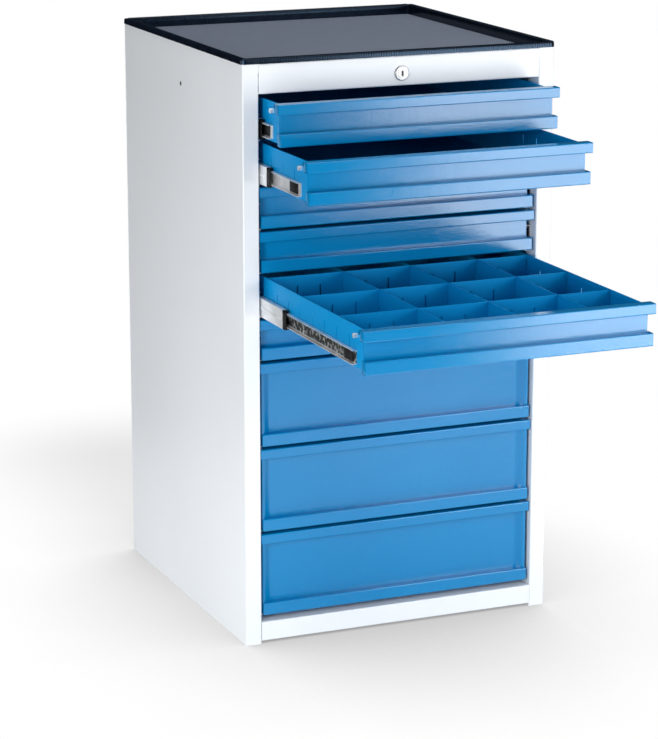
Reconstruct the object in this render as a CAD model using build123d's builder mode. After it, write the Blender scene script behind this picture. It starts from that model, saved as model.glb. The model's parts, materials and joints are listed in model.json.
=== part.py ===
from build123d import *
from math import atan2, degrees
import os

os.makedirs("parts", exist_ok=True)

# A steel drawer cabinet with nine drawers on telescopic slides, a key lock and a tray top.
# The front looks along -Y, +X is to the viewer's right, +Z is up. The floor is at z = 0
# and the origin lies under the middle of the body. All sizes are in millimetres.

# Body and stack of drawers
BODY_WIDTH = 570.0
BODY_DEPTH = 590.0
DRAWER_PITCH = 75.0
STACK_BOTTOM = 49.0
HEADER_HEIGHT = 50.0
HEADER_CLEARANCE = 1.0
UNITS_OF_DRAWER = (1, 1, 1, 1, 1, 1, 2, 2, 2)
OPENED_BY = (87.0, 208.0, 0.0, 0.0, 431.0, 0.0, 0.0, 0.0, 0.0)
DIVIDED_DRAWER = 5

# Sheet and clearances
PANEL_SHEET = 1.5
DRAWER_SHEET = 1.2
RAIL_SHEET = 1.2
PANEL_BEND = 2.5
DRAWER_BEND = 2.0
RAIL_BEND = 1.4
FIT_GAP = 0.3
POINT_TOLERANCE = 0.001

# Carcass
UPRIGHT_WIDTH = 28.5
UPRIGHT_DEPTH = 37.0
REAR_FLANGE = 17.0
TOP_FLANGE = 5.0
SIDE_HOLE_DIAMETER = 8.0
SIDE_HOLE_BELOW_TOP = 70.0
HEADER_RETURN = 20.0
APRON_BOTTOM = 5.0
FLOOR_TOP = 39.0
APRON_RETURN = 10.0
FRAME_FLANGE = 25.0
COLUMN_DEPTH = 35.0
COLUMN_BEHIND = 17.0
BACK_BOTTOM = 3.0

# Tray top and mat
TRAY_SINK = 13.0
TRAY_BASE = 2.5
TRAY_WALL = 2.5
TRAY_RIM_HEIGHT = 9.0
TRAY_OVERHANG = 2.0
TRAY_CORNER = 8.0
RIM_CUT_DEPTH = 40.0
RIM_ROUNDING = 2.5
MAT_THICKNESS = 2.0

# Drawer fronts
FRONT_GAP = 5.2
FRONT_RECESS = 4.0
TOP_BAND_HEIGHT = 17.5
BOTTOM_BAND_HEIGHT = 21.5
BAND_DEPTH = 15.0
TOP_BAND_SIDE_GAP = 2.0
BOTTOM_BAND_SIDE_GAP = 5.5
MIDDLE_SIDE_GAP = 8.5
TOP_BAND_RETURN = 21.2
BAND_LIP = 8.0

# Drawer trays
TRAY_SIDE_SPACE = 12.7
TRAY_BOTTOM_GAP = 2.0
TRAY_BELOW_FRONT_TOP = 2.5
TRAY_REAR_SPACE = 44.0
HEM_HEIGHT = 8.0
SLOT_WIDTH = 2.4
SLOT_HEIGHT = 22.0
SLOT_ABOVE_BASE = 27.0
SLOT_PITCH = 50.0
FIRST_SLOT = 64.6
DIVIDER_SHEET = 1.0
DIVIDER_BELOW_RIM = 0.5
DIVIDER_SLOT_COUNT = 10
DIVIDER_SLOT_PITCH = 125.0 / 3
TAB_GAP = 1.0
LENGTH_DIVIDER_SLOTS = (2, 5, 8)
CROSS_DIVIDER_SLOTS = (1, 4, 7)

# Slides
SLIDE_CENTRE = 18.0
CABINET_MEMBER_HEIGHT = 44.0
CABINET_MEMBER_FLANGE = 10.2
CABINET_MEMBER_FRONT = 21.0
MIDDLE_MEMBER_HEIGHT = 33.0
MIDDLE_MEMBER_OFFSET = 2.4
MIDDLE_MEMBER_FLANGE = 8.2
MIDDLE_MEMBER_FRONT = 36.0
DRAWER_MEMBER_HEIGHT = 23.0
DRAWER_MEMBER_FLANGE = 7.7
DRAWER_MEMBER_FRONT = 51.0
MEMBER_LENGTH = 480.0
MIDDLE_SHARE = 0.3
OUTER_CAGE_START = 134.0
OUTER_CAGE_LENGTH = 320.0
INNER_CAGE_START = 24.0
INNER_CAGE_LENGTH = 134.0
CAGE_WIDTH = 4.0
WINDOW_LENGTH = 22.0
WINDOW_HEIGHT = 10.0
WINDOW_FROM_END = 16.0
SIDE_PIN_DIAMETER = 8.0
SIDE_PIN_LENGTH = 6.5
SIDE_PIN_BEHIND_FRONT = 50.0
SIDE_PIN_BELOW_TOP = 16.3

# Lock
LOCK_BELOW_TOP = 29.0
LOCK_RING_DIAMETER = 25.0
LOCK_RING_THICKNESS = 3.0
LOCK_BARREL_DIAMETER = 20.0
LOCK_BARREL_LENGTH = 30.0
PLUG_DIAMETER = 16.0
PLUG_CLEARANCE = 0.08
PLUG_PROUD = 0.8
PLUG_LENGTH = 40.8
KEY_SLOT_WIDTH = 2.4
KEY_SLOT_HEIGHT = 8.0
KEY_SLOT_DEPTH = 6.0
CAM_THICKNESS = 2.5
CAM_RADIUS = 8.0
CAM_WIDTH = 12.0
CAM_EYE_WALL = 1.0
CAM_PIN_DIAMETER = 5.0
PIN_SLOT_GAP = 0.5
BAR_THICKNESS = 3.0
BAR_SPACING = 1.0
TRANSFER_BAR_HEIGHT = 14.0
TRANSFER_BAR_END = 20.0
SLOT_MARGIN = 3.0
LOCK_BAR_WIDTH = 14.0
LOCK_BAR_INSET = 1.5
LOCK_BAR_BOTTOM = 90.0
LOCK_LIFT = 9.0
CATCH_HEIGHT = 7.0
CATCH_BELOW_PIN = 12.5
CATCH_TRAY_GAP = 3.5
GUIDE_HEIGHT = 10.0
GUIDE_WALL = 3.0
GUIDE_BELOW_TOP = 10.8

# Derived planes and sizes
STACK_HEIGHT = DRAWER_PITCH * sum(UNITS_OF_DRAWER)
BODY_HEIGHT = STACK_BOTTOM + STACK_HEIGHT + HEADER_CLEARANCE + HEADER_HEIGHT
HALF_WIDTH = BODY_WIDTH / 2
FRONT_Y = -BODY_DEPTH / 2
REAR_Y = BODY_DEPTH / 2 - PANEL_SHEET
HALF_OPENING = HALF_WIDTH - UPRIGHT_WIDTH
INNER_HALF = HALF_WIDTH - PANEL_SHEET - FIT_GAP
REAR_INNER_Y = REAR_Y - PANEL_SHEET - FIT_GAP
UPRIGHT_REAR_Y = FRONT_Y + UPRIGHT_DEPTH
TRAY_BOTTOM_Z = BODY_HEIGHT - TRAY_SINK
TOP_PANEL_Z = TRAY_BOTTOM_Z - PANEL_SHEET
FACE_Y = FRONT_Y + FRONT_RECESS
TRAY_FRONT_Y = FACE_Y + BAND_DEPTH + DRAWER_SHEET
TRAY_HALF = HALF_OPENING - TRAY_SIDE_SPACE
TRAY_LENGTH = BODY_DEPTH / 2 - TRAY_REAR_SPACE - TRAY_FRONT_Y
LOCK_Z = BODY_HEIGHT - LOCK_BELOW_TOP
COLUMN_REAR_Y = REAR_INNER_Y + FIT_GAP - COLUMN_BEHIND

# Planes of the locking parts, counted backwards from the lock's front
PLUG_FRONT_Y = FRONT_Y - LOCK_RING_THICKNESS - PLUG_PROUD
PLUG_REAR_Y = PLUG_FRONT_Y + PLUG_LENGTH
CAM_REAR_Y = PLUG_REAR_Y + CAM_THICKNESS
TRANSFER_FRONT_Y = CAM_REAR_Y + BAR_SPACING
TRANSFER_REAR_Y = TRANSFER_FRONT_Y + BAR_THICKNESS
LOCK_BAR_FRONT_Y = TRANSFER_REAR_Y + BAR_SPACING
LOCK_BAR_REAR_Y = LOCK_BAR_FRONT_Y + BAR_THICKNESS
CAM_PIN_SIDE = CAM_RADIUS / 2**0.5
LOCK_BAR_RIGHT = -HALF_OPENING - LOCK_BAR_INSET
LOCK_BAR_LEFT = LOCK_BAR_RIGHT - LOCK_BAR_WIDTH
CATCH_REACH = LOCK_BAR_INSET + TRAY_SIDE_SPACE - CATCH_TRAY_GAP
LIFT_PIN_X = (LOCK_BAR_LEFT + LOCK_BAR_RIGHT) / 2
LIFT_PIN_Z = LOCK_Z - LOCK_LIFT


def save(part, name):
    """Label a finished piece and write it as its own STEP file."""
    part.label = name
    export_step(part, f"parts/{name}.step")


def folded(points, thickness, bend, side):
    """Draw the section of a folded sheet whose outer surface follows the points."""
    with BuildLine() as path:
        Polyline(*points)
        ends = [Vector(*points[0]), Vector(*points[-1])]
        corners = []
        for vertex in path.vertices():
            place = Vector(vertex.X, vertex.Y)
            if min((place - end).length for end in ends) > POINT_TOLERANCE:
                corners.append(vertex)
        fillet(corners, bend)
        offset(amount=thickness, side=side)
    make_face(path.edges())


def section_plane(start_x):
    """The plane across the cabinet's width, with Y to its right and Z up."""
    return Plane(origin=(start_x, 0, 0), x_dir=(0, 1, 0), z_dir=(1, 0, 0))


def drawer_base(number):
    """Height of the bottom of a drawer's front, drawers counted from the top."""
    units_below = sum(UNITS_OF_DRAWER[number:])
    return STACK_BOTTOM + DRAWER_PITCH * units_below


def drawer_top(number):
    """Height of the top of a drawer's front."""
    return drawer_base(number) + DRAWER_PITCH * UNITS_OF_DRAWER[number - 1] - FRONT_GAP


# Side panel with its front upright, rear flange and top flange
def side_panel():
    """The left side of the carcass."""
    outline = [
        (-HALF_WIDTH + REAR_FLANGE, REAR_Y),
        (-HALF_WIDTH, REAR_Y),
        (-HALF_WIDTH, FRONT_Y),
        (-HALF_OPENING, FRONT_Y),
        (-HALF_OPENING, UPRIGHT_REAR_Y),
    ]
    with BuildPart() as panel:
        with BuildSketch(Plane.XY):
            folded(outline, PANEL_SHEET, PANEL_BEND, Side.LEFT)
            with Locations((-INNER_HALF, UPRIGHT_REAR_Y)):
                Rectangle(
                    INNER_HALF - HALF_OPENING,
                    PANEL_SHEET,
                    align=(Align.MIN, Align.MAX),
                )
        extrude(amount=TOP_PANEL_Z)
        with BuildSketch(Plane.XY.offset(TOP_PANEL_Z)):
            folded(outline[:4], PANEL_SHEET, PANEL_BEND, Side.LEFT)
        extrude(amount=BODY_HEIGHT - TOP_PANEL_Z)
        with BuildSketch(Plane.XY.offset(BODY_HEIGHT - PANEL_SHEET)):
            with Locations((-HALF_WIDTH + PANEL_SHEET / 2, FRONT_Y + PANEL_BEND)):
                Rectangle(
                    TOP_FLANGE - PANEL_SHEET / 2,
                    REAR_Y - FRONT_Y - 2 * PANEL_BEND,
                    align=(Align.MIN, Align.MIN),
                )
            with Locations((-HALF_WIDTH + PANEL_BEND, FRONT_Y + PANEL_SHEET / 2)):
                Rectangle(
                    UPRIGHT_WIDTH - PANEL_BEND,
                    TOP_FLANGE - PANEL_SHEET / 2,
                    align=(Align.MIN, Align.MIN),
                )
        extrude(amount=PANEL_SHEET)
        hole_place = Plane(
            origin=(-HALF_WIDTH, 0, BODY_HEIGHT - SIDE_HOLE_BELOW_TOP), z_dir=(-1, 0, 0)
        )
        with Locations(hole_place):
            Hole(SIDE_HOLE_DIAMETER / 2, depth=2 * PANEL_SHEET)
    return panel.part


left_side = side_panel()
save(left_side, "side_panel_left")
save(mirror(left_side, about=Plane.YZ), "side_panel_right")


# Header rail above the drawers, with the lock's hole
def header_rail():
    """A folded rail between the uprights."""
    bottom = BODY_HEIGHT - HEADER_HEIGHT
    outline = [
        (FRONT_Y + TOP_FLANGE, BODY_HEIGHT),
        (FRONT_Y, BODY_HEIGHT),
        (FRONT_Y, bottom),
        (FRONT_Y + HEADER_RETURN, bottom),
    ]
    half = HALF_OPENING - FIT_GAP
    with BuildPart() as rail:
        with BuildSketch(section_plane(-half)):
            folded(outline, PANEL_SHEET, PANEL_BEND, Side.LEFT)
        extrude(amount=2 * half)
        with Locations(Plane(origin=(0, FRONT_Y, LOCK_Z), z_dir=(0, -1, 0))):
            Hole(LOCK_BARREL_DIAMETER / 2 + FIT_GAP, depth=2 * PANEL_SHEET)
    return rail.part


save(header_rail(), "header_rail")


# Floor sheet folded down at the front into the bottom rail
def base_panel():
    """The floor under the lowest drawer and the rail in front of it."""
    half = HALF_OPENING - FIT_GAP
    outline = [
        (FRONT_Y + APRON_RETURN, APRON_BOTTOM),
        (FRONT_Y, APRON_BOTTOM),
        (FRONT_Y, FLOOR_TOP),
        (REAR_INNER_Y, FLOOR_TOP),
    ]
    wide_front = UPRIGHT_REAR_Y + FIT_GAP
    with BuildPart() as panel:
        with BuildSketch(section_plane(-half)):
            folded(outline, PANEL_SHEET, PANEL_BEND, Side.RIGHT)
        extrude(amount=2 * half)
        with BuildSketch(Plane.XY.offset(FLOOR_TOP - PANEL_SHEET)):
            with Locations((0, wide_front)):
                Rectangle(
                    2 * INNER_HALF,
                    REAR_INNER_Y - wide_front,
                    align=(Align.CENTER, Align.MIN),
                )
        extrude(amount=PANEL_SHEET)
    return panel.part


save(base_panel(), "base_panel")


# Frame under the floor, which stands on the ground
def base_frame():
    """A ring of folded sheet with a flat foot and a flange that carries the floor."""
    front = UPRIGHT_REAR_Y + FIT_GAP
    length = REAR_INNER_Y - front
    width = 2 * INNER_HALF
    height = FLOOR_TOP - PANEL_SHEET
    middle_y = front + length / 2
    rings = (
        (0.0, PANEL_SHEET, FRAME_FLANGE),
        (0.0, height, PANEL_SHEET),
        (height - PANEL_SHEET, PANEL_SHEET, FRAME_FLANGE / 2),
    )
    with BuildPart() as frame:
        for start, rise, band in rings:
            with BuildSketch(Plane.XY.offset(start)):
                with Locations((0, middle_y)):
                    Rectangle(width, length)
                    Rectangle(width - 2 * band, length - 2 * band, mode=Mode.SUBTRACT)
            extrude(amount=rise)
    return frame.part


save(base_frame(), "base_frame")


# Back panel with a flange under the tray's rim
def back_panel():
    """The sheet that closes the back."""
    half = HALF_WIDTH - FIT_GAP
    with BuildPart() as panel:
        with BuildSketch(Plane.XZ.offset(-REAR_Y)):
            with Locations((0, BACK_BOTTOM)):
                Rectangle(
                    2 * half, BODY_HEIGHT - BACK_BOTTOM, align=(Align.CENTER, Align.MIN)
                )
        extrude(amount=-PANEL_SHEET)
        with BuildSketch(Plane.XY.offset(BODY_HEIGHT - PANEL_SHEET)):
            with Locations((0, REAR_Y - TOP_FLANGE + PANEL_SHEET)):
                Rectangle(
                    2 * (HALF_WIDTH - REAR_FLANGE - FIT_GAP),
                    TOP_FLANGE,
                    align=(Align.CENTER, Align.MIN),
                )
        extrude(amount=PANEL_SHEET)
    return panel.part


save(back_panel(), "back_panel")


# Top panel that carries the tray
def top_panel():
    """A flat sheet on the uprights and the rear columns."""
    front = FRONT_Y + PANEL_SHEET + FIT_GAP
    length = REAR_INNER_Y - front
    with BuildPart() as panel:
        with BuildSketch(Plane.XY.offset(TOP_PANEL_Z)):
            with Locations((0, front + length / 2)):
                RectangleRounded(2 * INNER_HALF, length, PANEL_BEND)
        extrude(amount=PANEL_SHEET)
    return panel.part


save(top_panel(), "top_panel")


# Rear columns, two folded channels
def rear_columns():
    """The channels at the back that hold the slides."""
    front = COLUMN_REAR_Y - COLUMN_DEPTH
    outline = [
        (-INNER_HALF, front),
        (-HALF_OPENING, front),
        (-HALF_OPENING, COLUMN_REAR_Y),
        (-INNER_HALF, COLUMN_REAR_Y),
    ]
    with BuildPart() as columns:
        with BuildSketch(Plane.XY.offset(FLOOR_TOP)):
            folded(outline, PANEL_SHEET, PANEL_BEND, Side.LEFT)
        extrude(amount=TOP_PANEL_Z - FLOOR_TOP)
        mirror(about=Plane.YZ)
    return columns.part


save(rear_columns(), "rear_columns")


# Black tray top: a flat floor, an edge profile round it and the mat
def tray_floor():
    """The plate inside the edge profile."""
    reach = TOP_FLANGE + FIT_GAP + TRAY_WALL
    with BuildPart() as floor:
        with BuildSketch(Plane.XY.offset(TRAY_BOTTOM_Z)):
            RectangleRounded(BODY_WIDTH - 2 * reach, BODY_DEPTH - 2 * reach, TRAY_CORNER / 2)
        extrude(amount=TRAY_BASE)
    return floor.part


def tray_rim():
    """The edge profile whose four sides meet in mitres at the corners."""
    wall_out_x = BODY_WIDTH - 2 * (TOP_FLANGE + FIT_GAP)
    wall_out_y = BODY_DEPTH - 2 * (TOP_FLANGE + FIT_GAP)
    rim_x = BODY_WIDTH + 2 * TRAY_OVERHANG
    rim_y = BODY_DEPTH + 2 * TRAY_OVERHANG
    with BuildPart() as ring:
        with BuildSketch(Plane.XY.offset(TRAY_BOTTOM_Z)):
            RectangleRounded(wall_out_x, wall_out_y, TRAY_CORNER)
        extrude(amount=TRAY_SINK)
        with BuildSketch(Plane.XY.offset(BODY_HEIGHT)):
            RectangleRounded(rim_x, rim_y, TRAY_CORNER)
        extrude(amount=TRAY_RIM_HEIGHT)
        with BuildSketch(Plane.XY.offset(TRAY_BOTTOM_Z)):
            RectangleRounded(wall_out_x - 2 * TRAY_WALL, wall_out_y - 2 * TRAY_WALL, TRAY_CORNER / 2)
        extrude(amount=TRAY_SINK + TRAY_RIM_HEIGHT, mode=Mode.SUBTRACT)
        top_face = ring.faces().sort_by(Axis.Z)[-1]
        fillet(top_face.edges(), RIM_ROUNDING)
    sides = []
    for half_along, half_away, turn in (
        (rim_x / 2, rim_y / 2, 0),
        (rim_y / 2, rim_x / 2, 90),
        (rim_x / 2, rim_y / 2, 180),
        (rim_y / 2, rim_x / 2, 270),
    ):
        inner = half_along - RIM_CUT_DEPTH
        with BuildPart() as side:
            add(ring.part)
            with BuildSketch(Plane.XY.offset(TRAY_BOTTOM_Z).rotated((0, 0, turn))):
                Polygon(
                    (-half_along, -half_away),
                    (half_along, -half_away),
                    (inner, RIM_CUT_DEPTH - half_away),
                    (-inner, RIM_CUT_DEPTH - half_away),
                    align=None,
                )
            extrude(amount=TRAY_SINK + TRAY_RIM_HEIGHT, mode=Mode.INTERSECT)
        sides.extend(side.part.solids())
    return Compound(children=sides)


def top_mat():
    """The mat on the tray's floor."""
    reach = TOP_FLANGE + 2 * FIT_GAP + TRAY_WALL
    with BuildPart() as mat:
        with BuildSketch(Plane.XY.offset(TRAY_BOTTOM_Z + TRAY_BASE)):
            RectangleRounded(BODY_WIDTH - 2 * reach, BODY_DEPTH - 2 * reach, TRAY_CORNER / 2)
        extrude(amount=MAT_THICKNESS)
    return mat.part


save(tray_floor(), "tray_floor")
save(tray_rim(), "tray_rim")
save(top_mat(), "top_mat")


# Slide members: sections drawn from the upright's inner face towards the drawer
def slide_plane(side, depth_from, start_y, centre_z):
    """The plane across a slide; its X runs from the cabinet towards the drawer."""
    return Plane(
        origin=(side * (HALF_OPENING - depth_from), start_y, centre_z),
        x_dir=(-side, 0, 0),
        z_dir=(0, 1, 0),
    )


def channel(height, flange):
    """The section of a channel that opens along the plane's X."""
    half = height / 2
    folded(
        [(flange, half), (0, half), (0, -half), (flange, -half)],
        RAIL_SHEET,
        RAIL_BEND,
        Side.LEFT,
    )


def cabinet_members():
    """All channels fixed to the uprights and columns, two for each drawer."""
    start = FRONT_Y + CABINET_MEMBER_FRONT
    length = COLUMN_REAR_Y - COLUMN_DEPTH / 2 - start
    with BuildPart() as members:
        for number in range(1, len(UNITS_OF_DRAWER) + 1):
            centre = drawer_base(number) + SLIDE_CENTRE
            for side in (-1, 1):
                with BuildSketch(slide_plane(side, 0, start, centre)):
                    channel(CABINET_MEMBER_HEIGHT, CABINET_MEMBER_FLANGE)
                extrude(amount=length)
    return members.part


def middle_members(number):
    """The pair of middle channels of one drawer with their ball cages."""
    start = FRONT_Y + MIDDLE_MEMBER_FRONT - MIDDLE_SHARE * OPENED_BY[number - 1]
    centre = drawer_base(number) + SLIDE_CENTRE
    half = MIDDLE_MEMBER_HEIGHT / 2
    outer_cage = CABINET_MEMBER_HEIGHT / 2 - RAIL_SHEET - FIT_GAP - half
    inner_cage = half - RAIL_SHEET - FIT_GAP - DRAWER_MEMBER_HEIGHT / 2
    cage_rows = (
        (OUTER_CAGE_START, OUTER_CAGE_LENGTH, half + outer_cage / 2, outer_cage),
        (INNER_CAGE_START, INNER_CAGE_LENGTH, half - RAIL_SHEET - inner_cage / 2, inner_cage),
    )
    with BuildPart() as members:
        for side in (-1, 1):
            with BuildSketch(slide_plane(side, MIDDLE_MEMBER_OFFSET, start, centre)):
                channel(MIDDLE_MEMBER_HEIGHT, MIDDLE_MEMBER_FLANGE)
            extrude(amount=MEMBER_LENGTH)
            for cage_start, cage_length, cage_centre, cage_height in cage_rows:
                cage_plane = slide_plane(
                    side, MIDDLE_MEMBER_OFFSET, start + cage_start, centre
                )
                with BuildSketch(cage_plane):
                    for level in (-cage_centre, cage_centre):
                        with Locations((MIDDLE_MEMBER_FLANGE / 2, level)):
                            Rectangle(CAGE_WIDTH, cage_height)
                extrude(amount=cage_length)
    return members.part


def drawer_members(number):
    """The pair of channels on one drawer's sides and the pin above each."""
    opened = OPENED_BY[number - 1]
    start = FRONT_Y + FRONT_RECESS + DRAWER_MEMBER_FRONT - opened
    centre = drawer_base(number) + SLIDE_CENTRE
    pin_y = FACE_Y + SIDE_PIN_BEHIND_FRONT - opened
    pin_z = drawer_top(number) - SIDE_PIN_BELOW_TOP
    half = DRAWER_MEMBER_HEIGHT / 2
    outline = [
        (-DRAWER_MEMBER_FLANGE, half),
        (0, half),
        (0, -half),
        (-DRAWER_MEMBER_FLANGE, -half),
    ]
    with BuildPart() as members:
        for side in (-1, 1):
            with BuildSketch(slide_plane(side, TRAY_SIDE_SPACE, start, centre)):
                folded(outline, RAIL_SHEET, RAIL_BEND, Side.RIGHT)
            extrude(amount=MEMBER_LENGTH)
            window_x = side * (TRAY_HALF + RAIL_SHEET / 2)
            window_y = start + WINDOW_FROM_END + WINDOW_LENGTH / 2
            with Locations((window_x, window_y, centre)):
                Box(2 * RAIL_SHEET, WINDOW_LENGTH, WINDOW_HEIGHT, mode=Mode.SUBTRACT)
            pin_plane = Plane(origin=(side * TRAY_HALF, pin_y, pin_z), z_dir=(side, 0, 0))
            with BuildSketch(pin_plane):
                Circle(SIDE_PIN_DIAMETER / 2)
            extrude(amount=SIDE_PIN_LENGTH)
    return members.part


# Drawer front, one folded profile with bands of three widths
def drawer_front(number):
    """The front: upper band, recessed middle and lower band."""
    face = FACE_Y - OPENED_BY[number - 1]
    base = drawer_base(number)
    top = drawer_top(number)
    web_front = face + BAND_DEPTH
    web_rear = web_front + DRAWER_SHEET
    upper = [
        (face + TOP_BAND_RETURN, top - BAND_LIP),
        (face + TOP_BAND_RETURN, top),
        (face, top),
        (face, top - TOP_BAND_HEIGHT),
        (web_rear, top - TOP_BAND_HEIGHT),
    ]
    lower = [
        (web_front, base + BAND_LIP),
        (web_front, base),
        (face, base),
        (face, base + BOTTOM_BAND_HEIGHT),
        (web_rear, base + BOTTOM_BAND_HEIGHT),
    ]
    upper_half = HALF_OPENING - TOP_BAND_SIDE_GAP
    lower_half = HALF_OPENING - BOTTOM_BAND_SIDE_GAP
    middle_half = HALF_OPENING - MIDDLE_SIDE_GAP
    web_bottom = base + BOTTOM_BAND_HEIGHT - DRAWER_SHEET
    web_top = top - TOP_BAND_HEIGHT + DRAWER_SHEET
    with BuildPart() as front:
        with BuildSketch(section_plane(-upper_half)):
            folded(upper, DRAWER_SHEET, DRAWER_BEND, Side.LEFT)
        extrude(amount=2 * upper_half)
        with BuildSketch(section_plane(-lower_half)):
            folded(lower, DRAWER_SHEET, DRAWER_BEND, Side.RIGHT)
        extrude(amount=2 * lower_half)
        with BuildSketch(Plane.XZ.offset(-web_front)):
            with Locations((0, web_bottom)):
                Rectangle(
                    2 * middle_half,
                    web_top - web_bottom,
                    align=(Align.CENTER, Align.MIN),
                )
        extrude(amount=-DRAWER_SHEET)
    return front.part


# Drawer tray with hemmed rim and slots for dividers
def drawer_tray(number):
    """The open box behind a front."""
    front = TRAY_FRONT_Y - OPENED_BY[number - 1]
    bottom = drawer_base(number) + TRAY_BOTTOM_GAP
    rim = drawer_top(number) - TRAY_BELOW_FRONT_TOP
    middle_y = front + TRAY_LENGTH / 2
    width = 2 * TRAY_HALF
    wall = DRAWER_SHEET
    notch_bottom = drawer_top(number) - BAND_LIP - 2 * FIT_GAP
    notch_depth = TOP_BAND_RETURN - BAND_DEPTH - DRAWER_SHEET + 2 * FIT_GAP
    slot_count = int((TRAY_LENGTH - FIRST_SLOT) // SLOT_PITCH) + 1
    with BuildPart() as tray:
        with BuildSketch(Plane.XY.offset(bottom)):
            with Locations((0, middle_y)):
                Rectangle(width, TRAY_LENGTH)
        extrude(amount=rim - bottom)
        with BuildSketch(Plane.XY.offset(bottom + wall)):
            with Locations((0, middle_y)):
                Rectangle(width - 2 * wall, TRAY_LENGTH - 2 * wall)
        extrude(amount=rim - bottom, mode=Mode.SUBTRACT)
        with BuildSketch(Plane.XY.offset(rim - HEM_HEIGHT)):
            with Locations((0, middle_y)):
                Rectangle(width - wall, TRAY_LENGTH - wall)
                Rectangle(width - 4 * wall, TRAY_LENGTH - 4 * wall, mode=Mode.SUBTRACT)
        extrude(amount=HEM_HEIGHT)
        with Locations((0, front, notch_bottom)):
            Box(
                2 * width,
                2 * notch_depth,
                DRAWER_PITCH,
                align=(Align.CENTER, Align.CENTER, Align.MIN),
                mode=Mode.SUBTRACT,
            )
        for row in range(UNITS_OF_DRAWER[number - 1]):
            slot_bottom = drawer_base(number) + SLOT_ABOVE_BASE + row * DRAWER_PITCH
            for place in range(slot_count):
                slot_y = front + FIRST_SLOT + place * SLOT_PITCH
                with Locations((0, slot_y, slot_bottom)):
                    Box(
                        2 * width,
                        SLOT_WIDTH,
                        SLOT_HEIGHT,
                        align=(Align.CENTER, Align.CENTER, Align.MIN),
                        mode=Mode.SUBTRACT,
                    )
    return tray.part


# Dividers of the divided drawer
def divider_rows():
    """Where the rows of compartments start and end and where the cross dividers stand."""
    opened = OPENED_BY[DIVIDED_DRAWER - 1]
    front = TRAY_FRONT_Y - opened
    first_slot = front + FIRST_SLOT
    crossings = [first_slot + SLOT_PITCH * slot for slot in CROSS_DIVIDER_SLOTS]
    lip_rear = FACE_Y + TOP_BAND_RETURN - opened
    return lip_rear, crossings, front + TRAY_LENGTH - 2 * DRAWER_SHEET


def divider_slots(number):
    """Place across the drawer of one of the slots that hold length dividers."""
    return (number - (DIVIDER_SLOT_COUNT - 1) / 2) * DIVIDER_SLOT_PITCH


def cross_dividers():
    """The slotted plates across the drawer, whose tabs hook into the side walls."""
    base = drawer_base(DIVIDED_DRAWER)
    floor = base + TRAY_BOTTOM_GAP + DRAWER_SHEET
    rim = drawer_top(DIVIDED_DRAWER) - TRAY_BELOW_FRONT_TOP - DIVIDER_BELOW_RIM
    half = TRAY_HALF - 2 * DRAWER_SHEET - FIT_GAP
    slot_bottom = base + SLOT_ABOVE_BASE
    with BuildPart() as dividers:
        for place in divider_rows()[1]:
            with BuildSketch(Plane.XZ.offset(-place - DIVIDER_SHEET / 2)):
                with Locations((0, floor)):
                    Rectangle(2 * half, rim - floor, align=(Align.CENTER, Align.MIN))
                with Locations((0, slot_bottom + TAB_GAP)):
                    Rectangle(
                        2 * (TRAY_HALF - FIT_GAP),
                        SLOT_HEIGHT - 2 * TAB_GAP,
                        align=(Align.CENTER, Align.MIN),
                    )
                for number in range(DIVIDER_SLOT_COUNT):
                    with Locations((divider_slots(number), slot_bottom)):
                        Rectangle(
                            SLOT_WIDTH,
                            SLOT_HEIGHT,
                            align=(Align.CENTER, Align.MIN),
                            mode=Mode.SUBTRACT,
                        )
            extrude(amount=DIVIDER_SHEET)
    return dividers.part


def length_dividers():
    """The short plates between the cross dividers."""
    floor = drawer_base(DIVIDED_DRAWER) + TRAY_BOTTOM_GAP + DRAWER_SHEET
    rim = drawer_top(DIVIDED_DRAWER) - TRAY_BELOW_FRONT_TOP - DIVIDER_BELOW_RIM
    first, crossings, last = divider_rows()
    starts = [first] + [place + DIVIDER_SHEET / 2 for place in crossings]
    ends = [place - DIVIDER_SHEET / 2 for place in crossings] + [last]
    with BuildPart() as dividers:
        for start, end in zip(starts, ends):
            with BuildSketch(Plane.XY.offset(floor)):
                for number in LENGTH_DIVIDER_SLOTS:
                    with Locations((divider_slots(number), start + FIT_GAP)):
                        Rectangle(
                            DIVIDER_SHEET,
                            end - start - 2 * FIT_GAP,
                            align=(Align.CENTER, Align.MIN),
                        )
            extrude(amount=rim - floor)
    return dividers.part


save(cabinet_members(), "slide_members_cabinet")
for drawer_number in range(1, len(UNITS_OF_DRAWER) + 1):
    save(drawer_front(drawer_number), f"drawer_{drawer_number}_front")
    save(drawer_tray(drawer_number), f"drawer_{drawer_number}_tray")
    save(drawer_members(drawer_number), f"drawer_{drawer_number}_slides")
    save(middle_members(drawer_number), f"drawer_{drawer_number}_middle_slides")
save(cross_dividers(), "cross_dividers")
save(length_dividers(), "length_dividers")


# Lock: housing, plug and cam
def lock_housing():
    """The ring on the header and the barrel behind it."""
    with BuildPart() as housing:
        with BuildSketch(Plane(origin=(0, FRONT_Y, LOCK_Z), z_dir=(0, -1, 0))):
            Circle(LOCK_RING_DIAMETER / 2)
        extrude(amount=LOCK_RING_THICKNESS)
        ring_edges = housing.edges().filter_by(GeomType.CIRCLE).sort_by(Axis.Y)
        fillet(ring_edges[0], LOCK_RING_THICKNESS / 2)
        with BuildSketch(Plane(origin=(0, FRONT_Y, LOCK_Z), z_dir=(0, 1, 0))):
            Circle(LOCK_BARREL_DIAMETER / 2)
        extrude(amount=LOCK_BARREL_LENGTH)
        with BuildSketch(
            Plane(origin=(0, FRONT_Y + LOCK_BARREL_LENGTH, LOCK_Z), z_dir=(0, -1, 0))
        ):
            Circle(PLUG_DIAMETER / 2 + PLUG_CLEARANCE)
        extrude(amount=LOCK_BARREL_LENGTH + 2 * LOCK_RING_THICKNESS, mode=Mode.SUBTRACT)
    return housing.part


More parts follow.
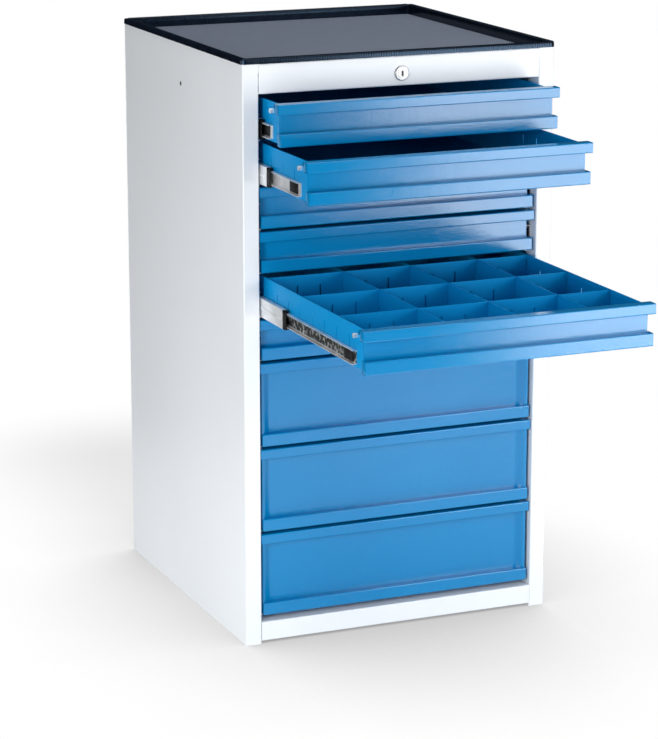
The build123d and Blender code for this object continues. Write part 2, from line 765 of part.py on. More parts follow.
def lock_plug():
    """The turning plug with its key slot."""
    with BuildPart() as plug:
        with BuildSketch(Plane(origin=(0, PLUG_FRONT_Y, LOCK_Z), z_dir=(0, 1, 0))):
            Circle(PLUG_DIAMETER / 2)
        extrude(amount=PLUG_LENGTH)
        front_edges = plug.edges().filter_by(GeomType.CIRCLE).sort_by(Axis.Y)
        chamfer(front_edges[0], PLUG_PROUD / 2)
        with Locations((0, PLUG_FRONT_Y, LOCK_Z)):
            Box(KEY_SLOT_WIDTH, 2 * KEY_SLOT_DEPTH, KEY_SLOT_HEIGHT, mode=Mode.SUBTRACT)
    return plug.part


def lock_cam():
    """The arm on the plug's rear end with the pin that moves the transfer bar."""
    pin_place = (CAM_PIN_SIDE, -CAM_PIN_SIDE)
    with BuildPart() as cam:
        with BuildSketch(Plane(origin=(0, PLUG_REAR_Y, LOCK_Z), x_dir=(1, 0, 0), z_dir=(0, -1, 0))):
            Circle(CAM_WIDTH / 2)
            with Locations(pin_place):
                Circle(CAM_PIN_DIAMETER / 2 + CAM_EYE_WALL)
            make_hull()
        extrude(amount=-CAM_THICKNESS)
        pin_plane = Plane(
            origin=(CAM_PIN_SIDE, CAM_REAR_Y, LOCK_Z - CAM_PIN_SIDE), z_dir=(0, 1, 0)
        )
        with BuildSketch(pin_plane):
            Circle(CAM_PIN_DIAMETER / 2)
        extrude(amount=BAR_SPACING + BAR_THICKNESS)
    return cam.part


save(lock_housing(), "lock_housing")
save(lock_plug(), "lock_plug")
save(lock_cam(), "lock_cam")


# Transfer bar from the cam to the vertical lock bar
def transfer_bar():
    """A flat bar with an upright slot for the cam pin and a slanted slot for the lift pin."""
    pin_radius = CAM_PIN_DIAMETER / 2
    slot_radius = pin_radius + PIN_SLOT_GAP
    travel = 2 * CAM_PIN_SIDE
    upper = LOCK_Z - CAM_PIN_SIDE
    lower = LOCK_Z - CAM_RADIUS
    bar_centre = (upper + lower) / 2
    end_left = LIFT_PIN_X - slot_radius - SLOT_MARGIN
    plate_right = LIFT_PIN_X + travel + slot_radius + SLOT_MARGIN
    plate_bottom = LIFT_PIN_Z - slot_radius - SLOT_MARGIN
    plate_top = LOCK_Z + slot_radius + SLOT_MARGIN
    plane = Plane(origin=(0, TRANSFER_FRONT_Y, 0), x_dir=(1, 0, 0), z_dir=(0, -1, 0))
    with BuildPart() as bar:
        with BuildSketch(plane):
            with Locations((end_left, bar_centre)):
                Rectangle(
                    TRANSFER_BAR_END - end_left,
                    TRANSFER_BAR_HEIGHT,
                    align=(Align.MIN, Align.CENTER),
                )
            with Locations((end_left, plate_bottom)):
                Rectangle(
                    plate_right - end_left,
                    plate_top - plate_bottom,
                    align=(Align.MIN, Align.MIN),
                )
            with Locations((CAM_PIN_SIDE, bar_centre)):
                SlotOverall(
                    upper - lower + 2 * slot_radius,
                    2 * slot_radius,
                    rotation=90,
                    mode=Mode.SUBTRACT,
                )
            slant = Vector(travel, LOCK_LIFT).length
            with Locations((LIFT_PIN_X + travel / 2, LIFT_PIN_Z + LOCK_LIFT / 2)):
                SlotOverall(
                    slant + 2 * slot_radius,
                    2 * slot_radius,
                    rotation=degrees(atan2(LOCK_LIFT, travel)),
                    mode=Mode.SUBTRACT,
                )
        extrude(amount=-BAR_THICKNESS)
    return bar.part


def lock_bar():
    """The vertical bar with the lift pin at its top."""
    top = LIFT_PIN_Z + LOCK_BAR_WIDTH / 2
    plane = Plane(origin=(0, LOCK_BAR_FRONT_Y, 0), x_dir=(1, 0, 0), z_dir=(0, -1, 0))
    with BuildPart() as bar:
        with BuildSketch(plane):
            with Locations((LOCK_BAR_LEFT, LOCK_BAR_BOTTOM)):
                Rectangle(LOCK_BAR_WIDTH, top - LOCK_BAR_BOTTOM, align=(Align.MIN, Align.MIN))
        extrude(amount=-BAR_THICKNESS)
        pin_plane = Plane(origin=(LIFT_PIN_X, LOCK_BAR_FRONT_Y, LIFT_PIN_Z), z_dir=(0, -1, 0))
        with BuildSketch(pin_plane):
            Circle(CAM_PIN_DIAMETER / 2)
        extrude(amount=BAR_SPACING + BAR_THICKNESS)
    return bar.part


def lock_catches():
    """One tab on the lock bar's edge for each drawer, below the drawer's side pin."""
    plane = Plane(origin=(0, LOCK_BAR_FRONT_Y, 0), x_dir=(1, 0, 0), z_dir=(0, -1, 0))
    with BuildPart() as catches:
        with BuildSketch(plane):
            for number in range(1, len(UNITS_OF_DRAWER) + 1):
                catch_z = drawer_top(number) - SIDE_PIN_BELOW_TOP - CATCH_BELOW_PIN
                with Locations((LOCK_BAR_RIGHT, catch_z)):
                    Rectangle(CATCH_REACH, CATCH_HEIGHT, align=(Align.MIN, Align.MIN))
        extrude(amount=-BAR_THICKNESS)
    return catches.part


def lock_guides():
    """Blocks on the left side that guide the lock bar."""
    left = -HALF_WIDTH + PANEL_SHEET
    right = LOCK_BAR_RIGHT + FIT_GAP + GUIDE_WALL / 2
    front = LOCK_BAR_FRONT_Y - FIT_GAP - GUIDE_WALL
    depth = BAR_THICKNESS + 2 * FIT_GAP + 2 * GUIDE_WALL
    with BuildPart() as guides:
        for number in (2, 6, len(UNITS_OF_DRAWER)):
            level = drawer_top(number) - GUIDE_BELOW_TOP
            with BuildSketch(Plane.XY.offset(level)):
                with Locations((left, front)):
                    Rectangle(right - left, depth, align=(Align.MIN, Align.MIN))
                with Locations((LOCK_BAR_LEFT - FIT_GAP, LOCK_BAR_FRONT_Y - FIT_GAP)):
                    Rectangle(
                        LOCK_BAR_WIDTH + 2 * FIT_GAP,
                        BAR_THICKNESS + 2 * FIT_GAP,
                        align=(Align.MIN, Align.MIN),
                        mode=Mode.SUBTRACT,
                    )
            extrude(amount=GUIDE_HEIGHT)
    return guides.part


save(transfer_bar(), "transfer_bar")
save(lock_bar(), "lock_bar")
save(lock_catches(), "lock_catches")
save(lock_guides(), "lock_guides")
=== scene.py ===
"""A steel drawer cabinet: finishes, added pieces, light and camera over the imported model."""

import json
import logging
import math
from dataclasses import dataclass, replace
from enum import Enum

import bmesh
import bpy
from mathutils import Matrix, Vector


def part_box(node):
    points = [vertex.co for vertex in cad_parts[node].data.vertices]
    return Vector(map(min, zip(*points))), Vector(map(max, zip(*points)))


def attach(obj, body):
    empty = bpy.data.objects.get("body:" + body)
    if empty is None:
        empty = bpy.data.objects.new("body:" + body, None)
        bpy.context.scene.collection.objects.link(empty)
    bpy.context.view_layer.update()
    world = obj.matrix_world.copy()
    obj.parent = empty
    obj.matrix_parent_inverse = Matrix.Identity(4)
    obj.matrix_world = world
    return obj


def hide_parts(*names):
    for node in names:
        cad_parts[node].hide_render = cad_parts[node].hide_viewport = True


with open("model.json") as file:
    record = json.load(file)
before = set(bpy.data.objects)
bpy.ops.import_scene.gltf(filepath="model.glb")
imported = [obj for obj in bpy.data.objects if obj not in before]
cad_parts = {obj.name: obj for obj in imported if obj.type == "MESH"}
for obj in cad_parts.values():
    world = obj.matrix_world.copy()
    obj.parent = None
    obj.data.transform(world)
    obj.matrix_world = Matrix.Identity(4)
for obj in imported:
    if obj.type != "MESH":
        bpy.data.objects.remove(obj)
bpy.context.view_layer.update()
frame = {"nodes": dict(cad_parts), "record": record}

LOG = logging.getLogger("drawer_cabinet")
Colour = tuple[float, float, float]
Size = tuple[float, float, float]
Element = bmesh.types.BMVert | bmesh.types.BMEdge | bmesh.types.BMFace
Socket = bpy.types.NodeSocket
Sockets = bpy.types.bpy_prop_collection

MILLIMETRE = 0.001
DRAWERS = range(1, 10)
# The drawer whose slide members get a painted shade on their web.
GREASY_DRAWER = 5
DRAWER_MEMBER_HALF = 11.5 * MILLIMETRE
ORIGIN = (0.0, 0.0, 0.0)
PARALLEL = 0.99
X_AXIS, Y_AXIS, Z_AXIS = range(3)
MIX_FIRST_COLOUR = 6
MIX_SECOND_COLOUR = 7
MIX_COLOUR_RESULT = 2


class Slot(Enum):
    """The record's material slots."""

    CARCASS = "carcass_paint"
    DRAWER = "drawer_paint"
    ZINC = "zinc_steel"
    TRAY = "tray_plastic"
    MAT = "mat_rubber"
    CHROME = "lock_chrome"
    MOULDED = "guide_plastic"


class Side(Enum):
    """Left and right of the cabinet, as the sign of X."""

    LEFT = -1.0
    RIGHT = 1.0


# Shader node helpers


class NodeBench:
    """Adds and joins the nodes of one node tree."""

    def __init__(self, tree: bpy.types.NodeTree) -> None:
        """Start with an empty tree.

        Args:
            tree: The node tree to fill.
        """
        self.tree = tree
        self.tree.nodes.clear()

    def add(self, kind: str, **values: object) -> bpy.types.Node:
        """Add a node, set its properties and fill its inputs.

        Args:
            kind: The node's type name.
            **values: Properties of the node, or inputs where the name has a capital.

        Returns:
            The new node.
        """
        node = self.tree.nodes.new(kind)
        for name, value in values.items():
            if name[0].isupper():
                self.put(value, node.inputs[name.replace("_", " ")])
            else:
                setattr(node, name, value)
        return node

    def put(self, value: object, target: Socket) -> None:
        """Link an input to a socket, or set it to a plain value.

        Args:
            value: The socket or the value.
            target: The input.
        """
        if isinstance(value, Socket):
            self.tree.links.new(value, target)
        else:
            target.default_value = value

    def math(self, operation: str, first: object, second: object = 0.0) -> Socket:
        """Combine two numbers.

        Args:
            operation: The math node's operation.
            first: A socket or a value.
            second: A socket or a value.

        Returns:
            The result's socket.
        """
        node = self.add("ShaderNodeMath", operation=operation)
        self.put(first, node.inputs[0])
        self.put(second, node.inputs[1])
        return node.outputs[0]

    def vector_math(self, operation: str, first: Socket, second: Size = ORIGIN) -> Socket:
        """Combine a vector with a constant one.

        Args:
            operation: The vector math node's operation.
            first: The vector's socket.
            second: The constant vector.

        Returns:
            The result's socket: a number for a distance or a length, else a vector.
        """
        node = self.add("ShaderNodeVectorMath", operation=operation)
        self.put(first, node.inputs[0])
        self.put(second, node.inputs[1])
        return node.outputs["Value" if operation in ("DISTANCE", "LENGTH") else "Vector"]

    def ramp(
        self,
        source: Socket,
        start: float,
        end: float,
        low: float = 0.0,
        high: float = 1.0,
        curve: str = "LINEAR",
    ) -> Socket:
        """Map a number from start..end to low..high, held at both ends.

        Args:
            source: The number's socket.
            start: The number that gives low.
            end: The number that gives high.
            low: The result at the start.
            high: The result at the end.
            curve: The way from low to high.

        Returns:
            The result's socket.
        """
        node = self.add("ShaderNodeMapRange", clamp=True, interpolation_type=curve, Value=source)
        limits = {"From Min": start, "From Max": end, "To Min": low, "To Max": high}
        for name, value in limits.items():
            node.inputs[name].default_value = value
        return node.outputs["Result"]

    def mix(self, factor: Socket, first: object, second: object) -> Socket:
        """Mix two colours.

        Args:
            factor: The socket of the second colour's share.
            first: A socket or a colour.
            second: A socket or a colour.

        Returns:
            The result's socket.
        """
        node = self.add("ShaderNodeMix", data_type="RGBA", Factor=factor)
        self.put(first, node.inputs[MIX_FIRST_COLOUR])
        self.put(second, node.inputs[MIX_SECOND_COLOUR])
        return node.outputs[MIX_COLOUR_RESULT]

    def noise(self, vector: Socket, scale: object, detail: float) -> Socket:
        """Add a noise texture and return the socket of its value."""
        return self.add("ShaderNodeTexNoise", Vector=vector, Scale=scale, Detail=detail).outputs[0]

    def join_shaders(self, kind: str, first: bpy.types.Node, second: bpy.types.Node) -> bpy.types.Node:
        """Join two shaders by an Add or a Mix Shader node.

        Args:
            kind: The joining node's type name.
            first: The first shader.
            second: The second shader.

        Returns:
            The joining node.
        """
        node = self.add(kind)
        self.put(first.outputs[0], node.inputs[-2])
        self.put(second.outputs[0], node.inputs[-1])
        return node

    def by_ray(self, others: bpy.types.Node, camera: bpy.types.Node) -> bpy.types.Node:
        """Choose a shader by the kind of ray.

        Args:
            others: The shader for all rays but the camera's.
            camera: The shader for the camera's rays.

        Returns:
            The node that chooses.
        """
        node = self.join_shaders("ShaderNodeMixShader", others, camera)
        ray = self.add("ShaderNodeLightPath")
        self.put(ray.outputs["Is Camera Ray"], node.inputs[0])
        return node


class Effect:
    """A shader node group that several finishes place with their own values."""

    title = "effect"
    inputs: dict[str, str] = {}
    outputs: dict[str, str] = {}
    _built: dict[str, bpy.types.NodeTree] = {}

    @classmethod
    def group(cls) -> bpy.types.NodeTree:
        """Build the group at its first use.

        Returns:
            The shader node group.
        """
        if cls.title not in Effect._built:
            tree = bpy.data.node_groups.new(cls.title, "ShaderNodeTree")
            for way, sockets in (("INPUT", cls.inputs), ("OUTPUT", cls.outputs)):
                for name, kind in sockets.items():
                    tree.interface.new_socket(name=name, in_out=way, socket_type=f"NodeSocket{kind}")
            bench = NodeBench(tree)
            start = bench.add("NodeGroupInput")
            end = bench.add("NodeGroupOutput")
            cls.fill(bench, start.outputs, end.inputs)
            Effect._built[cls.title] = tree
        return Effect._built[cls.title]

    @classmethod
    def fill(cls, bench: NodeBench, given: Sockets, wanted: Sockets) -> None:
        """Put the effect's nodes between the group's inputs and outputs."""
        raise NotImplementedError

    @classmethod
    def place(cls, bench: NodeBench, **values: object) -> bpy.types.Node:
        """Place the group in a material.

        Args:
            bench: The material's nodes.
            **values: Input values, or sockets to link to the inputs.

        Returns:
            The group node.
        """
        return bench.add("ShaderNodeGroup", node_tree=cls.group(), **values)


class OrangePeel(Effect):
    """The fine dimples and the slow swell of a sprayed or baked coat."""

    title = "orange_peel"
    inputs = {"Vector": "Vector", "Scale": "Float", "Dimple": "Float", "Swell": "Float"}
    outputs = {"Height": "Float", "Mask": "Float"}
    swell_share = 0.22
    detail = 1.0

    @classmethod
    def fill(cls, bench: NodeBench, given: Sockets, wanted: Sockets) -> None:
        """Add a fine noise for the dimples and a coarse one for the swell.

        Args:
            bench: The group's nodes.
            given: The group's inputs.
            wanted: The group's outputs.
        """
        coarse_scale = bench.math("MULTIPLY", given["Scale"], cls.swell_share)
        fine = bench.noise(given["Vector"], given["Scale"], cls.detail)
        coarse = bench.noise(given["Vector"], coarse_scale, cls.detail)
        dimple = bench.math("MULTIPLY", fine, given["Dimple"])
        swell = bench.math("MULTIPLY", coarse, given["Swell"])
        bench.put(bench.math("ADD", dimple, swell), wanted["Height"])
        bench.put(coarse, wanted["Mask"])


class ToneDrift(Effect):
    """A slow change of lightness over a surface."""

    title = "tone_drift"
    inputs = {"Vector": "Vector", "Scale": "Float", "Dark": "Color", "Light": "Color"}
    outputs = {"Color": "Color", "Mask": "Float"}
    detail = 3.0
    low = 0.32
    high = 0.68

    @classmethod
    def fill(cls, bench: NodeBench, given: Sockets, wanted: Sockets) -> None:
        """Mix the two colours by a noise.

        Args:
            bench: The group's nodes.
            given: The group's inputs.
            wanted: The group's outputs.
        """
        noise = bench.noise(given["Vector"], given["Scale"], cls.detail)
        share = bench.ramp(noise, cls.low, cls.high)
        bench.put(bench.mix(share, given["Dark"], given["Light"]), wanted["Color"])
        bench.put(share, wanted["Mask"])


class DrawnGrain(Effect):
    """Fine lines that rolling or drawing leaves along the cabinet's depth."""

    title = "drawn_grain"
    inputs = {"Vector": "Vector", "Scale": "Float"}
    outputs = {"Height": "Float", "Blotch": "Float"}
    stretch = (1.0, 0.02, 1.0)
    blotch_share = 0.045
    detail = 2.0

    @classmethod
    def fill(cls, bench: NodeBench, given: Sockets, wanted: Sockets) -> None:
        """Add a noise stretched along Y and a coarse blotch noise.

        Args:
            bench: The group's nodes.
            given: The group's inputs.
            wanted: The group's outputs.
        """
        stretched = bench.add("ShaderNodeMapping", Vector=given["Vector"], Scale=cls.stretch).outputs[0]
        blotch_scale = bench.math("MULTIPLY", given["Scale"], cls.blotch_share)
        bench.put(bench.noise(stretched, given["Scale"], cls.detail), wanted["Height"])
        bench.put(bench.noise(given["Vector"], blotch_scale, cls.detail), wanted["Blotch"])


class FineGrain(Effect):
    """The small texture of moulded plastic or rubber."""

    title = "fine_grain"
    inputs = {"Vector": "Vector", "Scale": "Float"}
    outputs = {"Height": "Float", "Mask": "Float"}
    detail = 4.0
    mask_share = 0.08

    @classmethod
    def fill(cls, bench: NodeBench, given: Sockets, wanted: Sockets) -> None:
        """Add a fine noise for the grain and a coarse one for the handling marks.

        Args:
            bench: The group's nodes.
            given: The group's inputs.
            wanted: The group's outputs.
        """
        mask_scale = bench.math("MULTIPLY", given["Scale"], cls.mask_share)
        bench.put(bench.noise(given["Vector"], given["Scale"], cls.detail), wanted["Height"])
        bench.put(bench.noise(given["Vector"], mask_scale, cls.detail), wanted["Mask"])


# Finishes


def rgba(colour: Colour) -> tuple[float, float, float, float]:
    """Add full opacity to a colour."""
    return (*colour, 1.0)


class Surface:
    """A material in the making: its nodes, its principled shader and its object coordinates."""

    def __init__(self, name: str) -> None:
        """Start a material with a principled shader.

        Args:
            name: The material's name.
        """
        self.material = bpy.data.materials.new(name)
        self.material.use_nodes = True
        self.bench = NodeBench(self.material.node_tree)
        self.shader = self.bench.add("ShaderNodeBsdfPrincipled")
        self.bench.add("ShaderNodeOutputMaterial", Surface=self.shader.outputs[0])
        self.place = self.bench.add("ShaderNodeTexCoord").outputs["Object"]

    def set(self, **values: object) -> None:
        """Fill some of the shader's inputs, each with a socket or a value."""
        for name, value in values.items():
            self.bench.put(value, self.shader.inputs[name.replace("_", " ")])

    def drift(self, scale: float, dark: Colour, light: Colour) -> bpy.types.Node:
        """Place a drift between two colours.

        Args:
            scale: The scale of its noise.
            dark: The darker colour.
            light: The lighter colour.

        Returns:
            The group node.
        """
        values = {"Vector": self.place, "Scale": scale, "Dark": rgba(dark), "Light": rgba(light)}
        return ToneDrift.place(self.bench, **values)

    def roughen(self, mask: Socket, smooth: float, rough: float) -> None:
        """Let a mask from 0 to 1 choose the roughness."""
        self.set(Roughness=self.bench.ramp(mask, 0.0, 1.0, smooth, rough))

    def bump(self, height: Socket, depth: float) -> None:
        """Feed a height through a bump node into the shader's normal.

        Args:
            height: The height's socket, from 0 to 1.
            depth: What a height of 1 means, in metres.
        """
        node = self.bench.add("ShaderNodeBump", Strength=1.0, Distance=depth, Height=height)
        self.set(Normal=node.outputs[0])


@dataclass(frozen=True)
class Finish:
    """What all finishes have: a name, two colours to drift between and two limits of roughness."""

    name: str
    dark: Colour
    light: Colour
    smooth: float
    rough: float


@dataclass(frozen=True)
class PowderCoat(Finish):
    """A baked powder coat on sheet steel."""

    peel_scale: float
    peel_depth: float
    swell: float
    drift_scale: float = 3.0
    specular: float = 0.5

    def build(self) -> bpy.types.Material:
        """Build the material.

        Returns:
            The finished material.
        """
        surface = Surface(self.name)
        drift = surface.drift(self.drift_scale, self.dark, self.light)
        surface.set(Base_Color=drift.outputs["Color"], Specular_IOR_Level=self.specular)
        peel = OrangePeel.place(
            surface.bench, Vector=surface.place, Scale=self.peel_scale, Dimple=1.0, Swell=self.swell
        )
        surface.roughen(peel.outputs["Mask"], self.smooth, self.rough)
        surface.bump(peel.outputs["Height"], self.peel_depth)
        return surface.material


@dataclass(frozen=True)
class ZincPlate(Finish):
    """Bright zinc plate on rolled steel, with a patchy painted shade on the web where asked."""

    grain_scale: float
    grain_depth: float
    # Painted shade on the web: its share, colour, noise scale and noise limits.
    web_shade: float = 0.0
    web_shade_colour: Colour = (0.012, 0.02, 0.016)
    web_shade_scale: float = 130.0
    web_shade_low: float = 0.28
    web_shade_high: float = 0.52
    metal: float = 0.7
    web_middle: float = 0.0
    web_half: float = 9.4 * MILLIMETRE
    web_edge: float = 0.8 * MILLIMETRE

    def build(self) -> bpy.types.Material:
        """Build the material.

        Returns:
            The finished material.
        """
        surface = Surface(self.name)
        grain = DrawnGrain.place(surface.bench, Vector=surface.place, Scale=self.grain_scale)
        drift = surface.drift(self.grain_scale * DrawnGrain.blotch_share, self.dark, self.light)
        colour = drift.outputs["Color"]
        # Painted shade: darken the web in patches.
        if self.web_shade:
            web_shade_cover = self.web_shade_mask(surface.bench, surface.place)
            colour = surface.bench.mix(web_shade_cover, colour, rgba(self.web_shade_colour))
        surface.set(Base_Color=colour, Metallic=self.metal)
        surface.roughen(grain.outputs["Blotch"], self.smooth, self.rough)
        surface.bump(grain.outputs["Height"], self.grain_depth)
        return surface.material

    def web_shade_mask(self, bench: NodeBench, place: Socket) -> Socket:
        """Paint a patchy dark shade on the member's web, between its flanges.

        Args:
            bench: The material's nodes.
            place: The coordinate's socket.

        Returns:
            The socket of the painted shade's cover, which is 0 on the flanges.
        """
        patches = bench.noise(place, self.web_shade_scale, DrawnGrain.detail)
        patchy_shade = bench.ramp(patches, self.web_shade_low, self.web_shade_high, 0.0, self.web_shade)
        height = bench.add("ShaderNodeSeparateXYZ", Vector=place).outputs["Z"]
        distance = bench.math("ABSOLUTE", bench.math("SUBTRACT", height, self.web_middle))
        web = bench.ramp(distance, self.web_half - self.web_edge, self.web_half, 1.0, 0.0)
        return bench.math("MULTIPLY", patchy_shade, web)


@dataclass(frozen=True)
class Polymer(Finish):
    """A moulded plastic or rubber."""

    grain_scale: float
    grain_depth: float
    specular: float = 0.5
    tint: Colour = (1.0, 1.0, 1.0)

    def build(self) -> bpy.types.Material:
        """Build the material.

        Returns:
            The finished material.
        """
        surface = Surface(self.name)
        grain = FineGrain.place(surface.bench, Vector=surface.place, Scale=self.grain_scale)
        drift = surface.drift(self.grain_scale * FineGrain.mask_share, self.dark, self.light)
        surface.set(Base_Color=drift.outputs["Color"])
        surface.set(Specular_IOR_Level=self.specular, Specular_Tint=rgba(self.tint))
        surface.roughen(grain.outputs["Mask"], self.smooth, self.rough)
        surface.bump(grain.outputs["Height"], self.grain_depth)
        return surface.material


@dataclass(frozen=True)
class Chrome(Finish):
    """Satin chrome plate."""

    scale: float
    depth: float
    metal: float = 0.72

    def build(self) -> bpy.types.Material:
        """Build the material.

        Returns:
            The finished material.
        """
        surface = Surface(self.name)
        drift = surface.drift(self.scale, self.dark, self.light)
        surface.set(Base_Color=drift.outputs["Color"], Metallic=self.metal)
        surface.roughen(drift.outputs["Mask"], self.smooth, self.rough)
        grain = FineGrain.place(surface.bench, Vector=surface.place, Scale=self.scale)
        surface.bump(grain.outputs["Height"], self.depth)
        return surface.material


FINISHES = {
    Slot.CARCASS: PowderCoat(
        name="light_grey_powder_coat",
        dark=(0.77, 0.80, 0.83),
        light=(0.80, 0.83, 0.86),
        smooth=0.34,
        rough=0.44,
        peel_scale=520.0,
        peel_depth=0.00003,
        swell=1.5,
    ),
    Slot.DRAWER: PowderCoat(
        name="blue_powder_coat",
        dark=(0.001, 0.185, 0.43),
        light=(0.002, 0.21, 0.475),
        smooth=0.07,
        rough=0.11,
        peel_scale=440.0,
        peel_depth=0.00020,
        swell=0.5,
    ),
    Slot.ZINC: ZincPlate(
        name="bright_zinc",
        dark=(0.74, 0.76, 0.78),
        light=(0.90, 0.91, 0.92),
        smooth=0.34,
        rough=0.50,
        grain_scale=900.0,
        grain_depth=0.00002,
    ),
    Slot.TRAY: Polymer(
        name="black_edge_profile",
        dark=(0.003, 0.005, 0.011),
        light=(0.005, 0.009, 0.018),
        smooth=0.14,
        rough=0.22,
        grain_scale=700.0,
        grain_depth=0.00002,
        specular=0.40,
        tint=(0.40, 0.66, 1.0),
    ),
    Slot.MAT: Polymer(
        name="grey_ribbed_rubber",
        dark=(0.20, 0.23, 0.30),
        light=(0.225, 0.26, 0.335),
        smooth=0.42,
        rough=0.55,
        grain_scale=900.0,
        grain_depth=0.00004,
    ),
    Slot.CHROME: Chrome(
        name="satin_chrome",
        dark=(0.38, 0.385, 0.39),
        light=(0.46, 0.465, 0.47),
        smooth=0.30,
        rough=0.38,
        scale=160.0,
        depth=0.000004,
    ),
    Slot.MOULDED: Polymer(
        name="black_moulded_plastic",
        dark=(0.003, 0.003, 0.004),
        light=(0.007, 0.007, 0.008),
        smooth=0.45,
        rough=0.60,
        grain_scale=1200.0,
        grain_depth=0.00003,
        specular=0.25,
    ),
}

# Zinc with a patchy, near-black painted shade on the member's web.
WEB_SHADED_ZINC = ZincPlate(
    name="web_shaded_zinc",
    dark=(0.74, 0.76, 0.78),
    light=(0.90, 0.91, 0.92),
    smooth=0.30,
    rough=0.46,
    grain_scale=900.0,
    grain_depth=0.00002,
    web_shade=0.97,
)

# Painted light: a lighter copy of the blue powder coat, so the shaded insides of the trays and dividers come
# out brighter.
LIGHTENED_TRAY_COAT = PowderCoat(
    name="lightened_blue_coat_of_trays",
    dark=(0.001, 0.235, 0.54),
    light=(0.002, 0.265, 0.60),
    smooth=0.30,
    rough=0.40,
    peel_scale=420.0,
    peel_depth=0.00005,
    swell=1.2,
    specular=0.12,
)


class Paintshop:
    """Builds each finish once and dresses nodes and pieces with it."""

    def __init__(self) -> None:
        """Build the materials of all slots."""
        self.materials = {slot: finish.build() for slot, finish in FINISHES.items()}
        self.lightened_tray_coat = LIGHTENED_TRAY_COAT.build()
        # The painted web shade is centred on that drawer's member.
        lower_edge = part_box(f"drawer_{GREASY_DRAWER}_slides")[0].z
        self.web_shaded = replace(WEB_SHADED_ZINC, web_middle=lower_edge + DRAWER_MEMBER_HALF).build()

    def dress_nodes(self) -> None:
        """Give each carried-over node its slot's material; trays and dividers get the lighter blue coat
        (painted light) and one drawer's slides the zinc with painted web shade.
        """
        slots = {row["node"]: Slot(row["material_slot"]) for row in frame["record"]["subparts"]}
        for name, node in frame["nodes"].items():
            material = self.materials[slots[name]]
            # That drawer's slides get the zinc with the painted web shade.
            if name == f"drawer_{GREASY_DRAWER}_slides":
                material = self.web_shaded
            # Trays and dividers get the lighter blue coat, painted light for their shaded insides.
            if name.endswith(("_tray", "_dividers")):
                material = self.lightened_tray_coat
            if not node.material_slots:
                node.data.materials.append(material)
            for place in node.material_slots:
                place.material = material
            LOG.info("%s: %s", name, material.name)

    def dress(self, piece: bpy.types.Object, slot: Slot) -> None:
        """Give a new piece the material of a slot, name that slot and report the piece.

        Args:
            piece: The new piece.
            slot: The slot whose material it gets.
        """
        piece.data.materials.append(self.materials[slot])
        LOG.info("%s: %s", piece.name, slot.value)


# Mesh helpers


def make_piece(name: str, mesh: bmesh.types.BMesh, smooth_angle: float | None = None) -> bpy.types.Object:
    """Turn a bmesh into an object at the origin.

    Args:
        name: The object's name.
        mesh: The bmesh, in the cabinet's frame, freed here.
        smooth_angle: The largest angle that is shaded smooth, in degrees, or None for flat shading.

    Returns:
        The new object.
    """
    bmesh.ops.recalc_face_normals(mesh, faces=mesh.faces[:])
    if smooth_angle is not None:
        limit = math.radians(smooth_angle)
        for face in mesh.faces:
            face.smooth = True
        for edge in mesh.edges:
            edge.smooth = edge.is_manifold and edge.calc_face_angle(0.0) < limit
    data = bpy.data.meshes.new(name)
    mesh.to_mesh(data)
    mesh.free()
    piece = bpy.data.objects.new(name, data)
    bpy.context.scene.collection.objects.link(piece)
    return piece


def add_block(mesh: bmesh.types.BMesh, size: Size, centre: Vector) -> list[bmesh.types.BMVert]:
    """Add a block to a bmesh.

    Args:
        mesh: The bmesh.
        size: Its width, depth and height.
        centre: Its middle.

    Returns:
        The block's vertices.
    """
    matrix = Matrix.Translation(centre) @ Matrix.Diagonal((*size, 1.0))
    return bmesh.ops.create_cube(mesh, size=1.0, matrix=matrix)["verts"]


def edges_of(verts: list[bmesh.types.BMVert]) -> list[bmesh.types.BMEdge]:
    """List the edges whose two ends are among some vertices.

    Args:
        verts: The vertices.

    Returns:
        The edges.
    """
    chosen = set(verts)
    found = dict.fromkeys(edge for vert in verts for edge in vert.link_edges)
    return [edge for edge in found if edge.verts[0] in chosen and edge.verts[1] in chosen]


def along(edge: bmesh.types.BMEdge, axis: int) -> bool:
    """Say whether an edge runs along one axis."""
    run = edge.verts[1].co - edge.verts[0].co
    return abs(run[axis]) > PARALLEL * run.length


def round_edges(mesh: bmesh.types.BMesh, edges: list[bmesh.types.BMEdge], radius: float, steps: int) -> None:
    """Round some edges of a bmesh.

    Args:
        mesh: The bmesh.
        edges: The edges.
        radius: The rounding's radius.
        steps: How many faces make up the rounding.
    """
    bmesh.ops.bevel(
        mesh,
        geom=edges,
        offset=radius,
        offset_type="OFFSET",
        affect="EDGES",
        segments=steps,
        profile=0.5,
        material=-1,
        clamp_overlap=True,
    )


def add_rounded_block(
    mesh: bmesh.types.BMesh, size: Size, centre: Vector, radius: float, steps: int
) -> None:
    """Add a block with all its edges rounded."""
    round_edges(mesh, edges_of(add_block(mesh, size, centre)), radius, steps)


def is_vert(item: Element) -> bool:
    """Say whether an element is a vertex."""
    return isinstance(item, bmesh.types.BMVert)


def close_below(mesh: bmesh.types.BMesh, verts: list[bmesh.types.BMVert], axis: int, level: float) -> None:
    """Extrude the rim of an open sheet to a level and close it there.

    Args:
        mesh: The bmesh.
        verts: The sheet's vertices.
        axis: The axis of the extrusion.
        level: The place of the closing face on that axis.
    """
    rim = [edge for edge in edges_of(verts) if edge.is_boundary]
    skirt = bmesh.ops.extrude_edge_only(mesh, edges=rim)["geom"]
    for vert in filter(is_vert, skirt):
        vert.co[axis] = level
    border = [item for item in skirt if isinstance(item, bmesh.types.BMEdge) and item.is_boundary]
    bmesh.ops.edgeloop_fill(mesh, edges=border)


# Tray top


